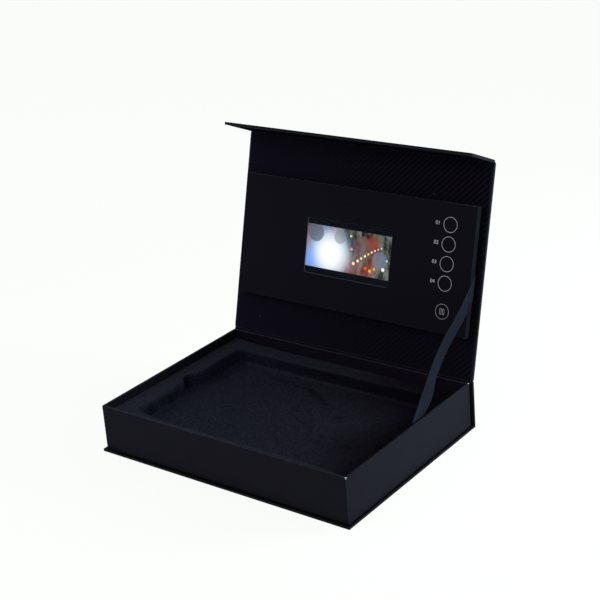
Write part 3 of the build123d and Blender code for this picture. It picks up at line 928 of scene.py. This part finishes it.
# %% [markdown]
# ## How the foam sits
#
# Hand-cut foam is never level. The block rises towards the front left corner by a few
# millimetres and its cut faces wander by some tenths. The movement fades out towards its foot.
# Blender seeds this noise from the clock when it starts, so a fixed seed is set first, and every
# run then gives the same foam.

# %% Move the foam
foam_rise, foam_border = 5.8 * mm, 2 * mm
foam_height = foam_high.z - foam_low.z
foam_seed = 1795482534
noise.seed_set(foam_seed)


def ease(value):
    """0 to 1 with a soft start and end."""
    value = min(max(value, 0), 1)
    return value * value * (3 - 2 * value)


def off_border(point):
    """Whether a point is off the block's outer walls, which stay against the tray."""
    return abs(point.x) < foam_high.x - foam_border and abs(point.y) < foam_high.y - foam_border


def foam_move(point):
    """How far a point of the foam is off its level block."""
    height = ease((point.z - foam_low.z) / foam_height)
    frontness = (foam_high.y - point.y) / (2 * foam_high.y)
    leftness = max((-60 * mm - point.x) / (92 * mm), 0) ** 2.5
    lift = (0.52 + 0.48 * frontness) * leftness * foam_rise
    wander = noise.noise_vector(point * 28) * 0.5 * mm
    ripple = noise.noise_vector(point * 110) * 0.18 * mm
    move = wander + ripple
    if not off_border(point):
        move = Vector((0, 0, move.z))
    return move * height + Vector((0, 0, lift * height))


for vertex in mesh.verts:
    vertex.co += foam_move(vertex.co)
mesh.normal_update()
skins = (foam_black, shaded_wall_foam, foam_side)
SHADED_WALL, LEFT_CUT = range(1, len(skins))
# Upright inner walls get the painted shade copy, apart from those that face +x, towards the light.
for face in mesh.faces:
    if off_border(face.calc_center_median()) and abs(face.normal.z) < 0.6:
        face.material_index = LEFT_CUT if face.normal.x > 0.6 else SHADED_WALL
foam_nodes = ("foam_base", "foam_frame")
foam_bed = piece("foam_bed", mesh, skins, "tray", foam_nodes, corner=80, even=False)
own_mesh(foam_bed)

# %% [markdown]
# ## The face of the module
#
# The module is a shallow box of laminated card, open at the back. Its front has a window with
# rounded corners and five round holes. It is cut like the foam, with Booleans, because the holes
# go through one flat face. Its outer edges are rounded first, and the edges of the window and
# holes afterwards.

# %% Cut the module's box
face_level = module_high.z
film_high = span("window_film", lid_place)[1]
glass_low, glass_high = span("lcd_glass", lid_place)
screen_middle = (glass_low + glass_high) / 2
window_half = Vector((55.0, 30.8, 0)) * mm
window_radius = 3.0 * mm
card_thickness = face_level - film_high.z
button_nodes = ("button_1", "button_2", "button_3", "button_4", "pause_button")
button_middles = {}
for node in button_nodes:
    low, high = span(node, lid_place)
    button_middles[node] = (low + high) / 2
cap_radius = 7.4 * mm
hole_radius = 7.65 * mm


def round_cutter(middle, low, high):
    """A round bar between two heights, to cut a button's hole."""
    mesh = bmesh.new()
    ends = {"radius1": hole_radius, "radius2": hole_radius, "depth": high - low}
    bmesh.ops.create_cone(mesh, cap_ends=True, segments=64, **ends)
    shift(mesh, Vector((middle.x, middle.y, (low + high) / 2)))
    return loose_object("hole", mesh)


side = Vector((card_thickness, card_thickness, 0))
hollow_low = module_low + side - Vector((0, 0, 5 * mm))
hollow_high = Vector((module_high.x - side.x, module_high.y - side.y, film_high.z))
casing = loose_object("module box", soften(slab(module_low, module_high), 0.45 * mm))
through = (film_high.z - mm, face_level + mm)
tools = [
    loose_object("hollow", slab(hollow_low, hollow_high)),
    cutter("window", screen_middle, window_half, *through, window_radius, 8),
]
tools += [round_cutter(middle, *through) for middle in button_middles.values()]
carve(casing, tools)
mesh = settled(casing, tools)
print("module box has", len(mesh.faces), "faces")

# %% [markdown]
# The rim of each opening is the set of edges that lie in the front face. They are picked by
# their height and by being shared by a face of the front and a face of the cut.

# %% Round the openings


def merge(mesh):
    """Joins vertices that lie on each other."""
    bmesh.ops.remove_doubles(mesh, verts=mesh.verts, dist=0.001 * mm)


merge(mesh)
margin = 6 * mm
rims = [
    edge
    for edge in mesh.edges
    if edge.is_manifold
    and all(abs(v.co.z - face_level) < 0.01 * mm for v in edge.verts)
    and all(module_low.x + margin < v.co.x < module_high.x - margin for v in edge.verts)
    and all(module_low.y + margin < v.co.y < module_high.y - margin for v in edge.verts)
    and edge.calc_face_angle() > 1
]
module_skins = (face_card, card_edge, fold_highlight_card, side_shade_card, window_highlight_card)
HOLE_RIM, FOLD_HIGHLIGHT, RIGHT_SIDE_SHADE, WINDOW_HIGHLIGHT = range(1, len(module_skins))
soften(mesh, 0.2 * mm, rims, rings=2, skin=HOLE_RIM)
left_of_buttons = button_middles["button_1"].x - 20 * mm
# The window's cut faces get the painted highlight card, the right fold a painted highlight and the right side a
# painted shade.
for face in mesh.faces:
    middle = face.calc_center_median()
    if face.normal.z < 0.5 and film_high.z + 0.1 * mm < middle.z < face_level - 0.1 * mm:
        face.material_index = WINDOW_HIGHLIGHT if middle.x < left_of_buttons else HOLE_RIM
    if middle.x > module_high.x - 0.5 * mm and face.normal.x > 0.2:
        face.material_index = RIGHT_SIDE_SHADE if face.normal.x > 0.95 else FOLD_HIGHLIGHT
piece("module_face", mesh, module_skins, "lid", ("module_cover",), lid_place)
print("rounded", len(rims), "rim edges")

# %% [markdown]
# ## The picture on the screen
#
# The screen plays a made-up picture: a street at dusk, far out of focus. Every light in it is a
# soft disc, and a table lists them as place, radius, softness, colour and strength. The picture
# is wider in shape than the screen, so it has a dark bar above and below. It glows, so it is
# written as emission on the panel's own UV map, with the fine grid of the screen's pixels over
# it.

# %% Screen picture
picture_half_height = 23.6 * mm
pixel_pitch = 0.45 * mm
dusk_lights = [
    (-27, -4, 40, 0.8, (176, 204, 240), 0.95),
    (-44, -15, 22, 0.8, (120, 168, 240), 0.9),
    (-23, -6, 30, 0.75, (255, 255, 250), 1.0),
    (-44, 15, 11, 0.12, (88, 98, 112), 0.8),
    (-12, 14, 8, 0.1, (120, 132, 128), 0.55),
    (18, 6, 13, 0.1, (118, 86, 88), 0.6),
    (41, -4, 10, 0.12, (112, 124, 142), 0.7),
    (30, 12, 8, 0.1, (150, 70, 52), 0.6),
    (8, -12, 2.2, 0.4, (255, 236, 170), 1.0),
    (13, -8.5, 1.9, 0.4, (255, 250, 226), 1.0),
    (17.5, -5, 1.7, 0.4, (255, 226, 150), 1.0),
    (22, -2, 1.6, 0.4, (255, 246, 214), 1.0),
    (26, 0.8, 1.5, 0.4, (250, 214, 128), 1.0),
    (30, 3.4, 1.4, 0.4, (255, 244, 214), 1.0),
    (34, 5.6, 1.3, 0.4, (232, 236, 240), 1.0),
    (38, 7.6, 1.2, 0.4, (255, 222, 150), 1.0),
    (42, 9.4, 1.1, 0.4, (236, 240, 244), 1.0),
    (24, -15, 2.6, 0.35, (226, 74, 74), 0.95),
    (29.5, -17, 2.3, 0.35, (232, 176, 44), 0.95),
    (35, -14, 1.8, 0.4, (206, 198, 88), 0.9),
    (46, -13, 2.4, 0.35, (250, 250, 246), 1.0),
    (50, -3, 1.7, 0.4, (150, 214, 226), 0.9),
    (4, 3, 2.0, 0.4, (240, 150, 168), 0.9),
    (2, 17, 1.5, 0.4, (240, 238, 206), 0.9),
]


def screen_picture():
    finish = Finish("screen picture")
    place, across, along = sheet_map(finish)
    dim = step(finish, grain(finish, place, 12 * mm, 5, 0.65, (1, 0.4, 1)), 0.40, 0.64)
    rust = step(finish, grain(finish, place, 22 * mm, 3, 0.55, (1, 0.5, 1)), 0.46, 0.62)
    moss = step(finish, grain(finish, place, 17 * mm, 3, 0.55, (1, 1.3, 1)), 0.52, 0.66)
    tint = blend(finish, dim, shade(12, 13, 18), shade(118, 122, 116))
    tint = blend(finish, rust * 0.5, tint, shade(160, 66, 46))
    tint = blend(finish, moss * 0.6, tint, shade(84, 98, 60))
    for x, y, radius, softness, colour, share in dusk_lights:
        spot = close_to(finish, place, (x * mm, y * mm, 0), radius * mm, softness)
        tint = blend(finish, spot * share, tint, shade(*colour))
    rows = ribs(finish, along, pixel_pitch) * ribs(finish, across, pixel_pitch)
    tint = blend(finish, rows * 0.12, tint, shade(6, 7, 12))
    height = along.sum("ABSOLUTE", along)
    bar = step(finish, height, picture_half_height - 0.2 * mm, picture_half_height)
    tint = blend(finish, bar, tint, shade(7, 8, 14))
    return finish.coat(
        Base_Color=(0.004, 0.004, 0.006, 1),
        Roughness=0.2 + dim * 0.05,
        Specular_IOR_Level=0.0,
        Emission_Color=tint,
        Emission_Strength=1.15,
    )


screen_skin = screen_picture()
print("lights in the picture", len(dusk_lights))

# %% [markdown]
# ## The panel behind the window
#
# The glass of the screen is a thin slab with ground edges. Its UV map is measured from the
# middle of the screen, so that the picture sits in the middle of the window.

# %% Screen panel
panel = flat_map(soften(slab(glass_low, glass_high), 0.25 * mm, rings=2), screen_middle)
piece("lcd_picture", panel, (screen_skin,), "lid", ("lcd_glass",), lid_place)

# %% [markdown]
# ## Push buttons
#
# Each button is a turned part: a cap that fills its hole, a flange behind the face that keeps it
# in, and a stem that ends short of its switch. A profile of one half is spun through a full
# turn. The cap is a tenth of a millimetre higher in its middle, which gives it a soft highlight.

# %% Turn the buttons


def turned(profile, middle, corners=64):
    """A solid from a half profile of (radius, height) points, spun about an upright axis."""
    mesh = bmesh.new()
    verts = [mesh.verts.new((radius, 0, height)) for radius, height in profile]
    edges = [mesh.edges.new(pair) for pair in zip(verts, verts[1:])]
    full = {"angle": 2 * math.pi, "steps": corners, "use_merge": True}
    axis = {"cent": (0, 0, 0), "axis": (0, 0, 1)}
    bmesh.ops.spin(mesh, geom=verts + edges, **axis, **full)
    merge(mesh)
    bmesh.ops.recalc_face_normals(mesh, faces=mesh.faces)
    shift(mesh, Vector((middle.x, middle.y, 0)))
    return mesh


flange_radius = cap_radius + 1.4 * mm
flange_top = film_high.z - 0.1 * mm
flange_bottom = flange_top - 0.7 * mm
stem_radius, cap_crown = 2.0 * mm, 0.1 * mm
for node, middle in button_middles.items():
    stem_end = span(node, lid_place)[0].z
    profile = [(0, stem_end), (stem_radius, stem_end), (stem_radius, flange_bottom)]
    profile += [(flange_radius, flange_bottom), (flange_radius, flange_top)]
    profile += [(cap_radius, flange_top), (cap_radius, face_level - 0.3 * mm)]
    profile += [(cap_radius - 0.09 * mm, face_level - 0.09 * mm)]
    profile += [(cap_radius - 0.3 * mm, face_level), (cap_radius / 2, face_level + 0.07 * mm)]
    profile += [(0, face_level + cap_crown)]
    cap = turned(profile, middle)
    piece(f"{node}_cap", cap, (face_card,), node, (node,), lid_place)

# %% [markdown]
# ## Printed marks
#
# White screen-printed ink stands a few hundredths of a millimetre on the card. A ring circles
# each button, a plain number names each of the first four, and the last has two outlined bars
# for pause. The rings are spun from a small square profile.

# %% Rings
ink = 0.05 * mm
ring_inner, ring_line, pause_ring_line = 7.66 * mm, 0.42, 0.3
for node, middle in button_middles.items():
    ring_outer = ring_inner + (pause_ring_line if node == "pause_button" else ring_line) * mm
    low, high = face_level - ink, face_level + ink
    corners = [(ring_inner, low), (ring_outer, low), (ring_outer, high), (ring_inner, high)]
    ring = turned(corners + corners[:1], middle, 96)
    piece(f"{node}_ring", ring, (ink_white,), "lid", (), lid_place)

# %% [markdown]
# The numbers are text with a little depth. They are made a mesh before they are placed, so that
# the object itself stays at the origin.

# %% Numbers
number_height = 5.6 * mm
number_edge, number_rise = 108.6 * mm, 0.4 * mm
for number, node in enumerate(button_nodes[:4], start=1):
    words = bpy.data.curves.new(f"number {number}", "FONT")
    words.body = f"{number:02d}"
    words.align_x, words.align_y = "RIGHT", "CENTER"
    words.size, words.extrude = number_height, ink
    mesh = settled(in_scene(f"number {number}", words))
    merge(mesh)
    shift(mesh, Vector((number_edge, button_middles[node].y + number_rise, face_level)))
    piece(f"number_{number}", mesh, (ink_white,), "lid", (), lid_place)

# %% [markdown]
# A pause bar is a face with rounded corners. Insetting it leaves its outline, and the outline
# alone gets a thickness.

# %% Pause bars
bar_half = Vector((1.05, 3.2, 0)) * mm
bar_offset, bar_line, bar_corner = 1.7 * mm, 0.32 * mm, 0.8 * mm
bar_sunk, bar_thickness = 0.03 * mm, 0.12 * mm
mesh = bmesh.new()
for sign in (-1, 1):
    middle = button_middles["pause_button"] + Vector((sign * bar_offset, 0, 0))
    bar = bmesh.ops.create_grid(mesh, x_segments=1, y_segments=1, size=1)["verts"]
    bmesh.ops.scale(mesh, vec=(bar_half.x, bar_half.y, 1), verts=bar)
    shift(mesh, Vector((middle.x, middle.y, face_level + bar_sunk)), bar)
    soften(mesh, bar_corner, bar, 5, affect="VERTICES")
whole_bars = list(mesh.faces)
bmesh.ops.inset_individual(mesh, faces=whole_bars, thickness=bar_line, use_even_offset=True)
bmesh.ops.delete(mesh, geom=whole_bars, context="FACES_ONLY")
raised = bmesh.ops.extrude_face_region(mesh, geom=mesh.faces)["geom"]
tops = [part for part in raised if isinstance(part, bmesh.types.BMVert)]
shift(mesh, (0, 0, bar_thickness), tops)
bmesh.ops.recalc_face_normals(mesh, faces=mesh.faces)
piece("pause_bars", mesh, (ink_white,), "pause_button", (), lid_place)

# %% [markdown]
# ## The ribbon stay
#
# The ribbon is glued between the right wall and the foam, bows inwards over the open side and
# ends beside the module. One smooth spline gives its line. Extruding that line across gives the
# cloth its width, its UV map measures the cloth from its middle and along its length, and
# Solidify gives its thickness.

# %% Ribbon line
ribbon_low = Vector((0, -1.0, 32.0)) * mm
ribbon_high = lid_place @ Vector((0, 105.0 * mm, 0.3 * mm))
ribbon_run = (ribbon_high - ribbon_low).length
ribbon_along = (ribbon_high - ribbon_low).normalized()
ribbon_across = ribbon_along.cross(Vector((1, 0, 0)))
wall_x, bow_x, lid_x = 152.3 * mm, 143.7 * mm, 151.25 * mm
route = [(0, wall_x), (35.6 * mm, 149.0 * mm), (104.3 * mm, bow_x)]
route += [(152.8 * mm, lid_x), (ribbon_run + 2 * mm, lid_x)]
line = bpy.data.curves.new("ribbon line", "CURVE")
line.dimensions = "3D"
spline = line.splines.new("NURBS")
spline.points.add(len(route) - 1)
for point, (run, x) in zip(spline.points, route):
    point.co = (*(ribbon_low + ribbon_along * run + Vector((x, 0, 0))), 1)
spline.order_u = 3
spline.use_endpoint_u = True
spline.resolution_u = 24
ribbon_points = [vertex.co.copy() for vertex in settled(in_scene("ribbon line", line)).verts]
print("ribbon line has", len(ribbon_points), "points")

# %% [markdown]
# The cloth starts as the line at one edge and is extruded to the other in eight steps. Its UV
# map is made while it is still straight across. Then its middle is turned a little about its
# first edge, it is cut along the back of the module, and its last few millimetres are folded
# in behind the module, where it is glued.

# %% Ribbon cloth
mesh = bmesh.new()
starts = [point - ribbon_across * ribbon_width / 2 for point in ribbon_points]
lengths = [0.0]
for before, after in zip(starts, starts[1:]):
    lengths.append(lengths[-1] + (after - before).length)
verts = [mesh.verts.new(point) for point in starts]
edges = [mesh.edges.new(pair) for pair in zip(verts, verts[1:])]
steps = 8
for count in range(steps):
    made = bmesh.ops.extrude_edge_only(mesh, edges=edges)["geom"]
    moved = [part for part in made if isinstance(part, bmesh.types.BMVert)]
    shift(mesh, ribbon_across * ribbon_width / steps, moved)
    edges = [part for part in made if isinstance(part, bmesh.types.BMEdge)]
layer = mesh.loops.layers.uv.new("flat")
for face in mesh.faces:
    for corner in face.loops:
        across = (corner.vert.co - ribbon_low).dot(ribbon_across)
        foot = corner.vert.co - ribbon_across * (across + ribbon_width / 2)
        nearest = min(range(len(starts)), key=lambda i: (starts[i] - foot).length_squared)
        corner[layer].uv = (across, lengths[nearest])

ribbon_twist = math.radians(11.5)
twist_start, twist_end, twist_ease = 30 * mm, 81 * mm, 25 * mm
for vertex in mesh.verts:
    run = (vertex.co - ribbon_low).dot(ribbon_along)
    reach = (vertex.co - ribbon_low).dot(ribbon_across) + ribbon_width / 2
    angle = ribbon_twist * ease((run - twist_start) / twist_ease)
    angle *= ease((twist_end - run) / twist_ease)
    turned_across = ribbon_across * math.cos(angle) + Vector((math.sin(angle), 0, 0))
    vertex.co += (turned_across - ribbon_across) * reach

fold_level = module_low.z - 0.2 * mm
ribbon_tail, ribbon_thickness = 3.5 * mm, 0.35 * mm
outward = lid_place.col[2].xyz
for level, clear in ((fold_level, False), (fold_level - ribbon_tail, True)):
    bmesh.ops.bisect_plane(
        mesh,
        geom=mesh.verts[:] + mesh.edges[:] + mesh.faces[:],
        plane_co=lid_place @ Vector((0, 0, level)),
        plane_no=outward,
        clear_inner=clear,
    )
for vertex in mesh.verts:
    behind = fold_level - (lid_place.inverted() @ vertex.co).z
    if behind > 0:
        vertex.co += (outward - Vector((1, 0, 0))) * behind
cloth_area = sum(face.calc_area() for face in mesh.faces)
thicken(mesh, ribbon_thickness)
skins, hidden = (finishes["ribbon"],), ("lid_stay_ribbon",)
stay = piece("stay_ribbon", mesh, skins, None, hidden, corner=60, even=False)
bend_start = ribbon_low + ribbon_along * 25 * mm + Vector((wall_x, 0, 0))
bend_end = ribbon_high - ribbon_along * 45 * mm + Vector((lid_x, 0, 0))
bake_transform(stay)

# %% [markdown]
# ## Floor and light
#
# The floor is plain and white to the camera but keeps the box's shadow: most of its white is
# given off and the rest is light it catches. A softbox low on the right is the main light, a
# large weak one fills from the front and the sky adds an even glow.

# %% Floor
paper_white = shade(252, 254, 252)
floor_radius = 30
caught_white, given_off = 0.13, 0.932


def seen_plainly(finish):
    """1 where the camera, a gloss or clear film looks at the backdrop, 0 for light on the box."""
    seen = finish.add("LightPath", output="Is Camera Ray")
    seen = seen + finish.add("LightPath", output="Is Glossy Ray")
    return seen + finish.add("LightPath", output="Is Transmission Ray")


mesh = bmesh.new()
bmesh.ops.create_circle(mesh, cap_ends=True, segments=64, radius=floor_radius)
floor = loose_object("floor", mesh)
floor_finish = Finish("floor")
seen = seen_plainly(floor_finish)
caught = (caught_white, caught_white, caught_white, 1)
glow = tuple(channel * given_off for channel in paper_white[:3])
floor_finish.coat(
    Base_Color=blend(floor_finish, seen, (0.5, 0.5, 0.5, 1), caught),
    Roughness=1.0,
    Specular_IOR_Level=0.0,
    Emission_Color=blend(floor_finish, seen, (0, 0, 0, 1), (*glow, 1)),
    Emission_Strength=1.0,
)
floor.data.materials.append(floor_finish.material)
print("floor radius", floor_radius, "m")

# %% Sky
world = bpy.data.worlds.new("sky")
bpy.context.scene.world = world
sky = Finish("sky", world)
sky.tree.nodes.clear()
sky_glow, sky_strength = (1.0, 0.95, 1.0, 1), 0.35
ambient = sky.add("Background", None, {"Color": sky_glow, "Strength": sky_strength})
white = sky.add("Background", None, {"Color": paper_white})
choice = sky.add("MixShader", None, {0: seen_plainly(sky), 1: ambient, 2: white})
output = sky.tree.nodes.new("ShaderNodeOutputWorld")
sky.put(output.inputs["Surface"], choice)
print("sky strength", sky_strength)

# %% Lamps


def softbox(name, place, target, size, power, colour):
    """A rectangular soft lamp that looks at a point."""
    lamp = bpy.data.lights.new(name, "AREA")
    lamp.shape, lamp.size, lamp.size_y = "RECTANGLE", *size
    lamp.energy, lamp.color = power, colour
    made = in_scene(name, lamp)
    facing = (Vector(place) - Vector(target)).to_track_quat("Z", "Y")
    made.matrix_world = Matrix.Translation(place) @ facing.to_matrix().to_4x4()
    print(name, "lamp of", power, "W")


softbox("key", (0.78, 0.52, 0.37), (0, 0, 0.08), (0.45, 0.25), 6.5, (0.86, 1.0, 0.98))
softbox("fill", (-0.9, -2.0, 1.6), (0, 0, 0.1), (2.0, 1.2), 12.0, (1.0, 0.95, 1.0))
bpy.context.scene.view_settings.view_transform = "Standard"
